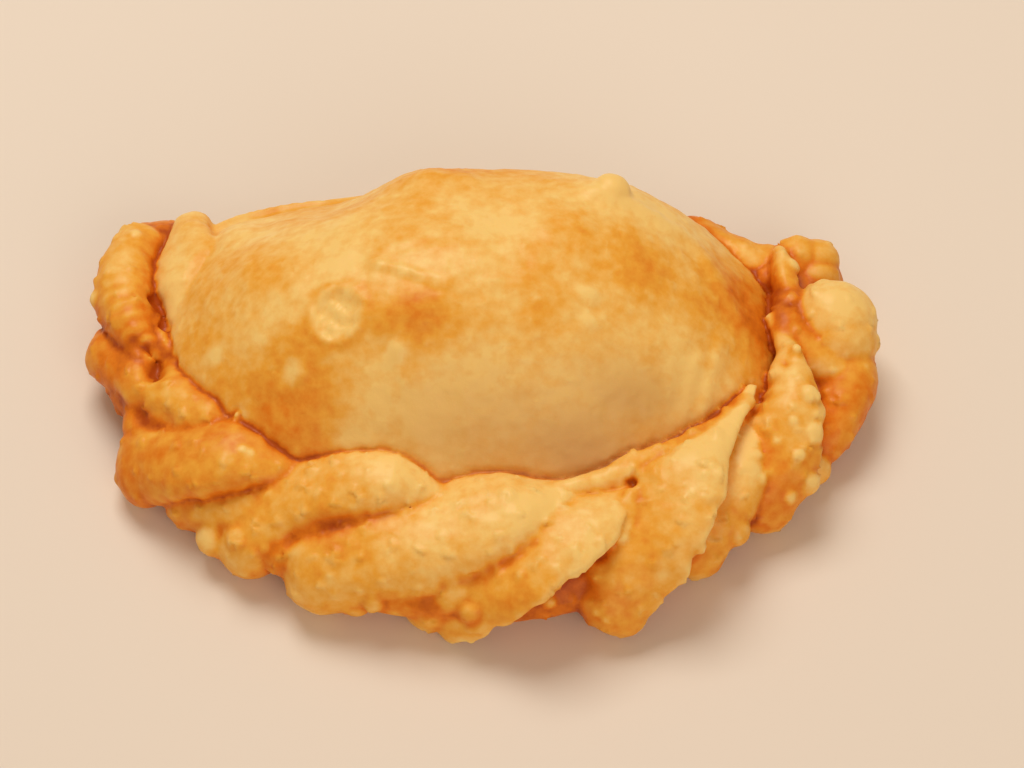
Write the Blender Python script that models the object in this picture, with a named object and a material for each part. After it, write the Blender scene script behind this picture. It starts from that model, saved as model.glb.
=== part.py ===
"""A fried empanada: a round of dough folded over a filling, with its seam rolled up into a rope.

The pouch lies flat side down, its fold at the back (+Y) and its rope round the front (-Y). The rope
follows an arc, and each of its folds starts at a foot on the rope's outer edge, climbs over the
crown and tucks its tip in against the pouch. Lengths are in metres, angles in degrees.
"""

import math
from typing import NamedTuple

import bmesh
import bpy
from mathutils import Vector

MM = 0.001

# Pouch: the filled part, as a cushion on an egg-shaped plan.
POUCH_CENTRE = Vector((-0.0015, 0.0085))
POUCH_HALF_LENGTH = 0.0505
POUCH_BACK = 0.0305
POUCH_FRONT = 0.0342
FRONT_SQUARENESS = 2.3
BACK_LEFT_SQUARENESS = 3.4
BACK_RIGHT_SQUARENESS = 2.3
POUCH_HEIGHT = 0.0335
POUCH_WAIST = 0.0085
POUCH_UNDER = -0.0020
BACK_ROUNDING = 0.50
FRONT_ROUNDING = 1.10
POUCH_RINGS = 40
POUCH_SIDES = 120

# Rope: the arc that the folds are laid along, seen from above.
ROPE_CENTRE = Vector((0.0, 0.020))
CORE_RADIUS = 0.0515
CORE_HALF_WIDTH = 0.0082
CORE_HALF_HEIGHT = 0.0050
CORE_Z = 0.0066
CORE_START, CORE_END = 163.0, 371.0
CORE_STATIONS = 60
CORE_SIDES = 12
CORE_END_SHARE = 0.04
CORE_END_THINNESS = 0.05

FOLD_STATIONS = 36
FOLD_SIDES = 28
END_REACH = 0.995
FOOT_FACING, CROWN_FACING = 40.0, 78.0
TANGENT_STEP = 0.01
LIP_RISE = 0.72
LIP_THICKNESS = 0.15
TUCK_SINK = 0.5

# One voxel for the whole crust, then fewer triangles.
VOXEL = 0.0010
SMOOTH_FACTOR = 0.5
SMOOTH_REPEAT = 1
KEEP_SHARE = 0.20
MERGE_DISTANCE = 0.0001

CRUST_COLOUR = (0.72, 0.40, 0.10, 1.0)
CRUST_ROUGHNESS = 0.45


class Fold(NamedTuple):
    """One fold of the rope, by its foot, crown and tip.

    Each of the three is an angle round the rope's centre in degrees, a distance from that centre
    and a height in millimetres. The half widths at the three and the half height follow. The lip is
    how flat the top is and how undercut its far edge, the lean lifts that edge in degrees, and the
    tuck is how much further the fold reaches under its neighbour. A fold with a high hold stays
    wide for longer before its tip.
    """

    foot: tuple
    crown: tuple
    tip: tuple
    half_widths: tuple
    half_height: float
    lip: float
    lean: float
    tuck: float
    hold: float


class Blister(NamedTuple):
    """A bubble in the crust: angle, distance and height of its middle, and its radius."""

    angle: float
    distance: float
    height: float
    radius: float


class Swelling(NamedTuple):
    """A rise or a hollow in the pouch's top, in millimetres."""

    x: float
    y: float
    reach_x: float
    reach_y: float
    rise: float


FOLDS = {
    "tail": Fold(
        (172, 55.5, 9), (182, 56.4, 11.5), (198.5, 52.8, 11.5), (4.2, 4.9, 2.9), 4.8, 0.0, 8, 0.0, 1.0
    ),
    "tail_bridge": Fold(
        (167, 48.6, 9.0), (178, 47.2, 12.0), (191, 47.6, 13.0), (4.6, 6.8, 2.5), 3.4, 0.0, -22, 0.0, 1.0
    ),
    "left_corner": Fold(
        (191.5, 59.8, 6.8), (206, 52.6, 11.3), (225.5, 45.8, 13.3), (3.9, 5.6, 1.1), 4.0, 0.15, 12, 0.3, 1.2
    ),
    "wing_web": Fold(
        (199, 57.3, 7.2), (207.5, 56.0, 8.9), (216, 55.0, 8.4), (4.0, 5.2, 4.0), 3.6, 0.0, 0, 0.0, 1.0
    ),
    "left_lobe": Fold(
        (213, 60.2, 5), (219, 55.0, 10.5), (238.5, 44.4, 12.7), (5.4, 6.4, 1.0), 4.8, 0.3, 8, 0.9, 1.2
    ),
    "lobe_web": Fold(
        (221, 57.8, 4.8), (229, 54.0, 7.8), (238, 48.5, 10.0), (4.4, 5.0, 3.0), 4.2, 0.0, 0, 0.0, 1.0
    ),
    "crescent": Fold(
        (234, 56.7, 5), (241.5, 46.9, 11.5), (268, 43.5, 13.4), (4.6, 6.4, 0.7), 5.4, 0.3, 14, 0.6, 1.7
    ),
    "long_roll": Fold(
        (245.6, 56.0, 5), (265.5, 50.2, 10.5), (294, 45.0, 14.3), (5.7, 6.9, 1.1), 6.2, 0.15, 8, 1.15, 1.6
    ),
    "middle": Fold(
        (267.9, 55.3, 5), (280.5, 54.4, 11.2), (300, 47.6, 15), (5.9, 5.9, 0.9), 4.8, 0.9, 14, 1.1, 1.6
    ),
    "wide_lip": Fold(
        (291, 59.6, 4.4), (302, 54.6, 12), (331, 48.8, 15), (4.4, 7.7, 0.8), 5.0, 0.9, 14, 0.6, 0.7
    ),
    "rim": Fold(
        (328, 48.3, 14.6), (305, 45.6, 14.8), (284, 43.4, 13.8), (1.2, 2.2, 1.4), 2.6, 0.5, 10, 0.0, 1.0
    ),
    "middle_flake": Fold(
        (288, 48.4, 14.4), (279.5, 50.0, 13.8), (273, 54.4, 12.2), (0.9, 2.2, 0.9), 2.2, 0.7, 10, 0.0, 1.0
    ),
    "wide_flake": Fold(
        (301, 47.8, 14.8), (297.5, 50.2, 14.4), (293.5, 54.2, 13), (0.9, 2.0, 0.9), 2.2, 0.7, 10, 0.0, 1.0
    ),
    "hidden": Fold(
        (306, 57.4, 4.5), (315, 55.0, 9.5), (329, 50.4, 12.5), (4.2, 4.8, 1.2), 4.0, 0.2, 8, 1.0, 1.0
    ),
    "column": Fold(
        (319.5, 58.4, 4.8), (328, 57.2, 11), (348.6, 47.0, 14.2), (4.4, 4.9, 0.6), 4.8, 0.5, 12, 0.6, 0.9
    ),
    "right_roll": Fold(
        (334.5, 59.8, 4.2), (343.5, 61.0, 7.6), (351, 58.0, 8.6), (3.4, 4.7, 3.4), 5.0, 0.0, 0, 0.5, 1.0
    ),
    "leaf": Fold(
        (350.8, 50.4, 12), (357.5, 49.0, 13), (365, 48.6, 12), (1.4, 2.0, 1.2), 2.6, 0.6, 0, 0.0, 1.0
    ),
    "collar": Fold(
        (354, 49.2, 12.4), (346.2, 51.6, 12.2), (344, 58.6, 9.8), (2.6, 4.2, 3.4), 3.4, 0.4, 0, 0.6, 1.0
    ),
    "neck": Fold(
        (374, 37.5, 9), (367.2, 42.2, 9.0), (365.5, 47.5, 9.0), (5.0, 4.6, 3.8), 4.4, 0.0, 0, 0.0, 1.0
    ),
    "knob_neck": Fold(
        (361, 46.5, 9.0), (363, 49.5, 9.5), (366, 54, 9.0), (3.4, 3.0, 3.0), 3.4, 0.0, 0, 0.0, 1.0
    ),
}

BLISTERS = {
    "bubble": Blister(351.8, 57.0, 10.6, 7.2),
    "bubble_low": Blister(349.2, 58.0, 9.8, 6.6),
    "knob": Blister(366.5, 52.4, 9.2, 4.0),
    "knob_end": Blister(366.0, 55.2, 8.8, 3.9),
    "dome_blister": Blister(12.4, 21.5, 27.9, 3.2),
    "tail_lump": Blister(171.0, 55.2, 8.5, 3.3),
    "tail_lump_back": Blister(166.0, 51.0, 7.0, 3.0),
    "lobe": Blister(228.0, 59.6, 4.8, 3.0),
    "collar_web": Blister(352.4, 50.4, 9.4, 4.2),
    "knob_under": Blister(362.6, 54.6, 7.6, 4.4),
    "hem_front": Blister(252.0, 58.0, 4.4, 2.4),
    "hem_right": Blister(329.5, 61.0, 4.0, 2.8),
    "bead_1": Blister(255, 58.4, 7.6, 2.2),
    "bead_2": Blister(269.5, 59.2, 8.0, 2.45),
    "bead_3": Blister(311.6, 59.3, 7.3, 2.6),
    "bead_4": Blister(328.7, 59.8, 13.7, 2.3),
    "bead_5": Blister(324.1, 62.3, 8.8, 2.3),
    "bead_6": Blister(232.7, 58.7, 7.9, 2.6),
}

SWELLINGS = (
    Swelling(-9, 29, 8, 7, 2.0),
    Swelling(22, 27, 16, 8, 2.0),
    Swelling(-33, 31, 18, 13, -7.0),
    Swelling(-32, 4, 12, 10, 1.6),
    Swelling(-6, 6, 14, 10, 0.8),
    Swelling(-24, -2, 6, 5, 0.7),
    Swelling(40, 22, 10, 12, -1.5),
    Swelling(-35.9, 12.3, 6, 5, 0.9),
    Swelling(-11.3, -0.6, 7, 3.5, 0.9),
    Swelling(19.0, 13.5, 11, 7, 0.7),
    Swelling(4.0, 14.0, 5, 12, -0.6),
    Swelling(-7.3, 26.7, 4, 3, 0.9),
    Swelling(20.8, 25.4, 3.8, 3.4, 1.0),
    Swelling(-21, 32, 7, 8, -3.0),
    Swelling(-39.5, 27, 4, 6, 1.8),
    Swelling(-28.0, -13.0, 5, 3, 0.6),
)


def rope_point(angle, radius, z):
    """A point of the rope from its angle round the arc, its distance from the centre and its height."""
    turn = math.radians(angle)
    flat = ROPE_CENTRE + radius * MM * Vector((math.cos(turn), math.sin(turn)))
    return Vector((flat.x, flat.y, z * MM))


def smooth_step(share):
    share = min(1.0, max(0.0, share))
    return share * share * (3.0 - 2.0 * share)


def crown_share(fold):
    """Where along a fold its crown lies, by the lengths of its two chords."""
    foot, crown, tip = (rope_point(*station) for station in (fold.foot, fold.crown, fold.tip))
    rise, run = (crown - foot).length, (tip - crown).length
    return rise / (rise + run)


def fold_middle(fold, share):
    """The middle line of a fold: the parabola in rope coordinates through foot, crown and tip."""
    at = crown_share(fold)
    foot_part = (share - at) * (share - 1.0) / at
    crown_part = share * (share - 1.0) / (at * (at - 1.0))
    tip_part = share * (share - at) / (1.0 - at)
    values = (
        foot_part * a + crown_part * b + tip_part * c
        for a, b, c in zip(fold.foot, fold.crown, fold.tip)
    )
    return rope_point(*values)


def fold_length(fold):
    foot, crown, tip = (rope_point(*station) for station in (fold.foot, fold.crown, fold.tip))
    return ((crown - foot).length + (tip - crown).length) / MM


def fold_half_width(fold, share):
    """How wide a fold is: from foot to crown to tip, with both ends rounded off beyond them."""
    at = crown_share(fold)
    foot, crown, tip = fold.half_widths
    if share < at:
        width = foot + (crown - foot) * smooth_step(share / at)
    else:
        past = max(0.0, (share - at) / (1.0 - at))
        width = crown + (tip - crown) * smooth_step(past**fold.hold)
    beyond = max(0.0, -share * fold_length(fold) / foot, (share - 1.0) * fold_length(fold) / tip)
    return width * math.sqrt(max(0.0, 1.0 - beyond**2))


def section(turn, lip, tuck):
    """A fold's cross-section: round, or flat on top up to a raised, undercut lip on its far side."""
    across, height = math.cos(turn), math.sin(turn)
    if across <= 0:
        if height > 0:
            height = (1.0 - abs(across) ** (2.0 + 2.0 * lip)) ** 0.5
        return across * (1.0 + tuck), height - TUCK_SINK * tuck * across**2
    if height >= 0:
        flat = 1.0 - (1.0 - LIP_RISE) * across**3
        return across, height + (flat - height) * lip
    under = (1.0 - lip * across) * height + (LIP_RISE - LIP_THICKNESS) * across
    return across, height + (under - height) * lip


def fold_ring(fold, share):
    """The outline of a fold across its middle line."""
    before = fold_middle(fold, share - TANGENT_STEP)
    after = fold_middle(fold, share + TANGENT_STEP)
    forward = (after - before).normalized()
    middle = fold_middle(fold, share)
    outward = Vector((middle.x - ROPE_CENTRE.x, middle.y - ROPE_CENTRE.y, 0.0)).normalized()
    rise = smooth_step(share / crown_share(fold))
    facing = math.radians(FOOT_FACING + (CROWN_FACING - FOOT_FACING) * rise)
    up = outward * math.cos(facing) + Vector((0, 0, math.sin(facing)))
    side = forward.cross(up).normalized()
    up = side.cross(forward).normalized()
    lean = math.radians(fold.lean) * rise
    side, up = side * math.cos(lean) + up * math.sin(lean), up * math.cos(lean) - side * math.sin(lean)
    half_width = fold_half_width(fold, share)
    half_height = fold.half_height * min(1.0, half_width / fold.half_widths[0])
    points = []
    for k in range(FOLD_SIDES):
        turn = math.tau * k / FOLD_SIDES
        across, height = section(turn, fold.lip, fold.tuck)
        points.append(middle + (side * across * half_width + up * height * half_height) * MM)
    return points


def link_mesh(name, mesh):
    bmesh.ops.recalc_face_normals(mesh, faces=mesh.faces)
    data = bpy.data.meshes.new(name)
    mesh.to_mesh(data)
    mesh.free()
    obj = bpy.data.objects.new(name, data)
    bpy.context.scene.collection.objects.link(obj)
    return obj


def closed_tube(name, rings):
    """A mesh object from rings of points, with each end closed by a fan round its centre."""
    mesh = bmesh.new()
    loops = [[mesh.verts.new(point) for point in ring] for ring in rings]
    count = len(rings[0])
    for near, far in zip(loops, loops[1:]):
        for k in range(count):
            mesh.faces.new((near[k], near[(k + 1) % count], far[(k + 1) % count], far[k]))
    for loop in (loops[0], loops[-1]):
        centre = mesh.verts.new(sum((v.co for v in loop), Vector()) / count)
        for k in range(count):
            mesh.faces.new((loop[k], loop[(k + 1) % count], centre))
    return link_mesh(name, mesh)


def make_fold(name, fold):
    """One fold as a tube whose rings stand closer at its two round ends."""
    first = -END_REACH * fold.half_widths[0] / fold_length(fold)
    last = 1.0 + END_REACH * fold.half_widths[2] / fold_length(fold)
    rings = []
    for i in range(FOLD_STATIONS + 1):
        along = (1.0 - math.cos(math.pi * i / FOLD_STATIONS)) / 2
        rings.append(fold_ring(fold, first + (last - first) * along))
    return closed_tube(name, rings)


def make_core():
    """The rolled seam under the folds."""
    rings = []
    for i in range(CORE_STATIONS + 1):
        share = i / CORE_STATIONS
        angle = CORE_START + (CORE_END - CORE_START) * share
        near_end = max(0.0, 1.0 - min(share, 1.0 - share) / CORE_END_SHARE)
        full = math.sqrt(max(CORE_END_THINNESS, 1.0 - near_end**2))
        ring = []
        for k in range(CORE_SIDES):
            turn = math.tau * k / CORE_SIDES
            radius = CORE_RADIUS + CORE_HALF_WIDTH * full * math.cos(turn)
            z = CORE_Z + CORE_HALF_HEIGHT * full * math.sin(turn)
            ring.append(rope_point(angle, radius / MM, z / MM))
        rings.append(ring)
    return closed_tube("core", rings)


def make_blister(name, blister):
    mesh = bmesh.new()
    bmesh.ops.create_icosphere(mesh, subdivisions=3, radius=blister.radius * MM)
    bmesh.ops.translate(
        mesh, verts=mesh.verts, vec=rope_point(blister.angle, blister.distance, blister.height)
    )
    return link_mesh(name, mesh)


def pouch_reach(turn):
    """How far the pouch reaches from its centre towards an angle, seen from above."""
    c, s = math.cos(turn), math.sin(turn)
    depth = POUCH_BACK if s > 0 else POUCH_FRONT
    back_power = BACK_LEFT_SQUARENESS if c < 0 else BACK_RIGHT_SQUARENESS
    power = FRONT_SQUARENESS + (back_power - FRONT_SQUARENESS) * smooth_step(2 * s)
    return (abs(c / POUCH_HALF_LENGTH) ** power + abs(s / depth) ** power) ** (-1 / power)


def pouch_top(turn, share):
    """The height of the pouch's top at a share of its reach towards an angle."""
    front = smooth_step((1.0 - math.sin(turn)) / 2)
    rounding = BACK_ROUNDING + (FRONT_ROUNDING - BACK_ROUNDING) * front
    return POUCH_WAIST + (POUCH_HEIGHT - POUCH_WAIST) * max(0.0, 1.0 - share**2) ** rounding


def swelling_rise(x, y):
    """How far the uneven filling lifts the crust at a place, seen from above."""
    rise = 0.0
    for bump in SWELLINGS:
        off = ((x / MM - bump.x) / bump.reach_x) ** 2 + ((y / MM - bump.y) / bump.reach_y) ** 2
        rise += bump.rise * math.exp(-off)
    return rise * MM


def make_pouch():
    """The filled pouch: a domed top and a shallow underside that meet at its waist."""
    mesh = bmesh.new()
    loops = []
    for i in range(1, POUCH_RINGS):
        along = math.pi * i / POUCH_RINGS
        share = math.sin(along)
        loop = []
        for k in range(POUCH_SIDES):
            turn = math.tau * k / POUCH_SIDES
            reach = pouch_reach(turn) * share
            x = POUCH_CENTRE.x + reach * math.cos(turn)
            y = POUCH_CENTRE.y + reach * math.sin(turn)
            if along <= math.pi / 2:
                z = pouch_top(turn, share)
                z += swelling_rise(x, y) * smooth_step((z - POUCH_WAIST) / POUCH_WAIST)
            else:
                z = POUCH_WAIST - (POUCH_WAIST - POUCH_UNDER) * math.sqrt(1.0 - share**2)
            loop.append(mesh.verts.new((x, y, z)))
        loops.append(loop)
    for near, far in zip(loops, loops[1:]):
        for k in range(POUCH_SIDES):
            mesh.faces.new((near[k], far[k], far[(k + 1) % POUCH_SIDES], near[(k + 1) % POUCH_SIDES]))
    top = POUCH_HEIGHT + swelling_rise(POUCH_CENTRE.x, POUCH_CENTRE.y)
    for loop, z in ((loops[0], top), (loops[-1], POUCH_UNDER)):
        pole = mesh.verts.new((POUCH_CENTRE.x, POUCH_CENTRE.y, z))
        for k in range(POUCH_SIDES):
            mesh.faces.new((loop[k], loop[(k + 1) % POUCH_SIDES], pole))
    return link_mesh("pouch", mesh)


def make_crust():
    material = bpy.data.materials.new("fried_crust")
    material.use_nodes = True
    shader = material.node_tree.nodes["Principled BSDF"]
    shader.inputs["Base Color"].default_value = CRUST_COLOUR
    shader.inputs["Roughness"].default_value = CRUST_ROUGHNESS
    shader.inputs["Metallic"].default_value = 0.0
    return material


def apply_modifiers(obj):
    """Turn an object's modifiers into its mesh."""
    graph = bpy.context.evaluated_depsgraph_get()
    data = bpy.data.meshes.new_from_object(obj.evaluated_get(graph))
    obj.modifiers.clear()
    obj.data = data


def outer_shell(mesh):
    """The largest connected set of corners: the skin without the pockets closed in under it."""
    left = set(mesh.verts)
    largest = set()
    while left:
        shell = {left.pop()}
        front = list(shell)
        while front:
            corner = front.pop()
            for edge in corner.link_edges:
                other = edge.other_vert(corner)
                if other not in shell:
                    shell.add(other)
                    front.append(other)
        left -= shell
        if len(shell) > len(largest):
            largest = shell
    return largest


def centre_on_plan(mesh):
    """Move the pastry so that the middle of its length and depth stands over the origin."""
    shift = Vector((0.0, 0.0, 0.0))
    for axis in (0, 1):
        reach = [vert.co[axis] for vert in mesh.verts]
        shift[axis] = -(min(reach) + max(reach)) / 2
    bmesh.ops.translate(mesh, verts=mesh.verts, vec=shift)


def finish_skin(obj):
    """Fill the closed pockets, then cut the underside level and close it with one flat face."""
    mesh = bmesh.new()
    mesh.from_mesh(obj.data)
    skin = outer_shell(mesh)
    bmesh.ops.delete(mesh, geom=[v for v in mesh.verts if v not in skin], context="VERTS")
    everything = mesh.verts[:] + mesh.edges[:] + mesh.faces[:]
    cut = bmesh.ops.bisect_plane(
        mesh, geom=everything, dist=1e-6, plane_co=(0, 0, 0), plane_no=(0, 0, 1), clear_inner=True
    )
    edges = [item for item in cut["geom_cut"] if isinstance(item, bmesh.types.BMEdge)]
    bmesh.ops.holes_fill(mesh, edges=edges)
    bmesh.ops.remove_doubles(mesh, verts=mesh.verts, dist=MERGE_DISTANCE)
    bmesh.ops.triangulate(mesh, faces=mesh.faces)
    bmesh.ops.recalc_face_normals(mesh, faces=mesh.faces)
    centre_on_plan(mesh)
    mesh.to_mesh(obj.data)
    mesh.free()


def main():
    for obj in list(bpy.data.objects):
        bpy.data.objects.remove(obj)
    pieces = [make_pouch(), make_core()]
    pieces += [make_fold(name, fold) for name, fold in FOLDS.items()]
    pieces += [make_blister(name, blister) for name, blister in BLISTERS.items()]
    pastry = pieces[0]
    with bpy.context.temp_override(active_object=pastry, selected_editable_objects=pieces):
        bpy.ops.object.join()
    pastry.name = "empanada"
    pastry.data.name = "empanada"

    remesh = pastry.modifiers.new("one_skin", "REMESH")
    remesh.mode = "VOXEL"
    remesh.voxel_size = VOXEL
    soften = pastry.modifiers.new("soften", "SMOOTH")
    soften.factor = SMOOTH_FACTOR
    soften.iterations = SMOOTH_REPEAT
    thin_out = pastry.modifiers.new("thin_out", "DECIMATE")
    thin_out.ratio = KEEP_SHARE
    apply_modifiers(pastry)
    finish_skin(pastry)

    pastry.data.materials.clear()
    pastry.data.materials.append(make_crust())
    pastry.data.shade_smooth()


main()
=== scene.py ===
import math
from typing import NamedTuple

import bmesh
import bpy
from mathutils import Matrix, Vector


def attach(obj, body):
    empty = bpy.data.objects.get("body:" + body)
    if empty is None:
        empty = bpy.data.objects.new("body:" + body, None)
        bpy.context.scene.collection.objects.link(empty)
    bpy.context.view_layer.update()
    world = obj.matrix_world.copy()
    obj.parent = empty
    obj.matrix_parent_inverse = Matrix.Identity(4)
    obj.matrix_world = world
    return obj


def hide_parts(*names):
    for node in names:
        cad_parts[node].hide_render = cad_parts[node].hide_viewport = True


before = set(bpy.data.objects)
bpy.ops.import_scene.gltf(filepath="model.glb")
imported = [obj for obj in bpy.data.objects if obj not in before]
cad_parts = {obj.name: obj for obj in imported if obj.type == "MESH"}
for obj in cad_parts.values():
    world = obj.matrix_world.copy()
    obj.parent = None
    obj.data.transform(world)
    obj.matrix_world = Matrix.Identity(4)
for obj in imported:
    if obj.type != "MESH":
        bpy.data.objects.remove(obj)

bl_info = {
    "name": "Fried empanada",
    "version": (1, 0, 0),
    "blender": (4, 5, 0),
    "location": "3D View > Sidebar > Empanada",
    "description": "Makes a fried empanada with a rope-folded edge, its crust and a plain stage",
    "category": "Add Mesh",
}

# Sizes and places below are in millimetres and angles in degrees. The meshes are in metres.
MM = 0.001

# From the middle of the rope's drawing to the middle of the pastry's length and depth.
PLAN_SHIFT = Vector((-0.501, 1.319, 0.0)) * MM

# The pouch: how far it reaches from its centre, how square its plan is, its heights, and how round
# it is at the back and the front (a lower number is fuller).
POUCH_CENTRE = Vector((-1.5, 8.5))
POUCH_HALF_LENGTH = 50.5
POUCH_BACK = 30.5
POUCH_FRONT = 34.2
FRONT_SQUARENESS = 2.3
BACK_LEFT_SQUARENESS = 3.4
BACK_RIGHT_SQUARENESS = 2.3
POUCH_HEIGHT = 33.5
POUCH_WAIST = 8.5
POUCH_UNDER = -2.0
BACK_ROUNDING = 0.50
FRONT_ROUNDING = 1.10
POUCH_RINGS = 120
POUCH_SIDES = 360

# The rope's arc, and the rolled core under the folds, which thins out at both ends.
ROPE_CENTRE = Vector((0.0, 20.0))
CORE_RADIUS = 51.5
CORE_HALF_WIDTH = 8.2
CORE_HALF_HEIGHT = 5.0
CORE_Z = 6.6
CORE_START, CORE_END = 163.0, 371.0
CORE_STATIONS = 160
CORE_SIDES = 24
CORE_END_SHARE = 0.04
CORE_END_THINNESS = 0.05

# A fold's top faces outwards at its foot and upwards at its crown, by these angles.
FOLD_STATIONS = 90
FOLD_SIDES = 40
FOOT_FACING, CROWN_FACING = 40.0, 78.0
TANGENT_STEP = 0.01
# How far a fold's round ends reach past its foot and tip, as a share of the half widths there.
END_REACH = 0.998
# How much browner (or, below nought, paler) a fold is at its foot and its tip, and the core.
FOOT_BROWN, TIP_BROWN = 0.5, -0.5
CORE_BROWN = 0.35

# In half heights: how high a lip rises, how thick it is, and how far a tucked side sinks.
LIP_RISE = 0.72
LIP_THICKNESS = 0.15
TUCK_SINK = 0.5

# The waves of a ragged edge: how fast each runs along the fold, how much its start on the rope and
# the turn round the fold shift it, and its strength. Then how fast a fold's wrinkles run along it.
RAGGED_WAVES = (
    (11.0, 1.0, 0.0, 1.0),
    (19.0, 2.0, 1.0, 1.0),
    (37.0, 3.0, -1.0, 0.8),
    (67.0, 5.0, 0.0, 0.4),
)
RAGGED_SHARE = 1 / 3
WRINKLE_WAVE = 75.0

# A dent's push ends at this many of its radii.
DENT_REACH = 2.5

# What faces down by more than this is the underside. It is thinned until this share of all the
# skin's triangles is left.
UNDERSIDE_FACING = -0.3
UNDERSIDE_RATIO = 0.72

# The one skin is drawn on a grid, then softened a little. The pieces' marks are blurred over this
# many steps of the grid, and the shape that a groove or a valley lies under over these.
SOFTENING = 0.5
MARK_BLUR, GROOVE_BLUR, VALLEY_BLUR = 3, 5, 30
MARKS = ("rope", "crown", "brown", "veil")

# The widths of the patterns in the relief. Real crumbs are 0.5 to 1 mm wide, which is too fine for
# the skin's triangles, so they are drawn coarser.
WAVE_WIDTH = 6.6667
CRUMB_WIDTH = 2.381
# Bubbles tried for on a square metre, before the least distance between them thins them out.
BUBBLE_TRIES = 200000.0
# On the pouch the bubbles and crumbs are this share of what they are on the rope.
POUCH_RELIEF = 0.25
# Crumbs stand out by this share of the waves, and all relief fades out below this height.
CRUMB_SHARE = 0.5
RELIEF_FADE = 2.0

# The widths of the patterns in the crust: clouds and blotches of browning, and flecks. The grain is
# about 0.3 mm and the pores about 0.5 mm wide on real dough, and both are drawn coarser to show.
CLOUD_WIDTH = 14.286
BLOTCH_WIDTH = 4.762
FLECK_WIDTH = 1.7857
GRAIN_WIDTH = 1.1111
PORE_WIDTH = 1.4286

# The crust's tone runs from 0, blond, to 1, brown, with the gold and the amber between. It is the
# dough's own tone and what each noise and mark adds to that. A noise is a half on average.
GOLD_TONE, AMBER_TONE = 0.36, 0.66
DOUGH_TONE = 0.16
CLOUD_WEIGHT, BLOTCH_WEIGHT, FLECK_WEIGHT = 1.0, 0.3, 0.45
# The crown's weight makes the crowns paler, partly as less fried dough and partly as painted light
# from above.
BROWN_WEIGHT, ROPE_WEIGHT, CROWN_PALE_AND_LIGHT_WEIGHT, BUBBLE_WEIGHT = 0.5, 0.40, -0.28, -0.08
# The seam's weight draws a painted shade line where the rope meets the pouch.
SEAM_SHADE_WEIGHT = 0.42
# Painted shade in hollows: tone for a metre of depth, the most that this painted shade adds, and
# its share of that on the pouch.
GROOVE_SHADE_TONE, VALLEY_SHADE_TONE = 1600.0, 75.0
HOLLOW_SHADE_LIMIT = 0.5
POUCH_HOLLOW_SHADE = 0.2
# How sharply the seam's painted shade line falls off to both sides.
SEAM_SHADE_SHARPNESS = 2.5
# The most of the filling's shade and of the painted sheen mixed in with it, and how far the flecks
# change the roughness up and down.
VEIL_SHARE = 0.75
FLECK_ROUGHNESS = 0.175
# The fine bumps: how deep they are, how strong, and how deep the pores are beside the grain.
GRAIN_DEPTH = 0.25
GRAIN_STRENGTH = 0.22
PORE_SHARE = 0.6

# The floor's half width. The soft lights: each one's place, width, share of the key light's power
# and colour. The even light's colour, and the place that the camera looks at.
FLOOR_REACH = 1500.0
LIGHTS = (
    ("key", Vector((-140.0, 420.0, 800.0)), 460.0, 1.0, "#fffaf3"),
    ("front", Vector((220.0, -680.0, 400.0)), 600.0, 0.40, "#fff3e6"),
)
ROOM_COLOUR = "#ffe0c0"
CAMERA_AIM = Vector((5.5, 7.8, 0.0))


class Fold(NamedTuple):
    """One fold of the rope, by its foot, crown and tip.

    Each of the three is an angle round the rope's centre, a distance from that centre and a height.
    The half widths at the three and the half height follow. The lip is how flat the top is and how
    undercut its far edge, the lean lifts that edge, and the tuck is how much further the fold
    reaches under its neighbour. A fold with a high hold stays wide for longer before its tip, and a
    brown fold (below nought: a paler one) was fried for longer. Ragged and wrinkles are how far its
    edge wanders and its top ripples. A fold with no rope in it has the pouch's colours and meets it
    without a seam. The fade is how much paler its tip is than its foot.
    """

    foot: tuple
    crown: tuple
    tip: tuple
    half_widths: tuple
    half_height: float
    lip: float
    lean: float
    tuck: float
    hold: float
    brown: float
    ragged: float = 0.04
    wrinkles: float = 0.0
    rope: float = 1.0
    fade: float = 1.0


class Blister(NamedTuple):
    """A bubble: its middle as an angle, a distance and a height, its radius and how brown it is.

    One with no rope in it has the pouch's colours.
    """

    angle: float
    distance: float
    height: float
    radius: float
    brown: float
    rope: float = 1.0


class Crease(NamedTuple):
    """A crease in the pouch's top: where it starts and ends, its half width and its rise."""

    start: Vector
    end: Vector
    half_width: float
    rise: float


class Dent(NamedTuple):
    """A pocket pressed into the skin: a place on it, its radius and its depth."""

    x: float
    y: float
    z: float
    radius: float
    depth: float


class Patch(NamedTuple):
    """A place on the pouch's top, as its middle, its reach along X and Y, and how strong it is."""

    x: float
    y: float
    reach_x: float
    reach_y: float
    strength: float


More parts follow.
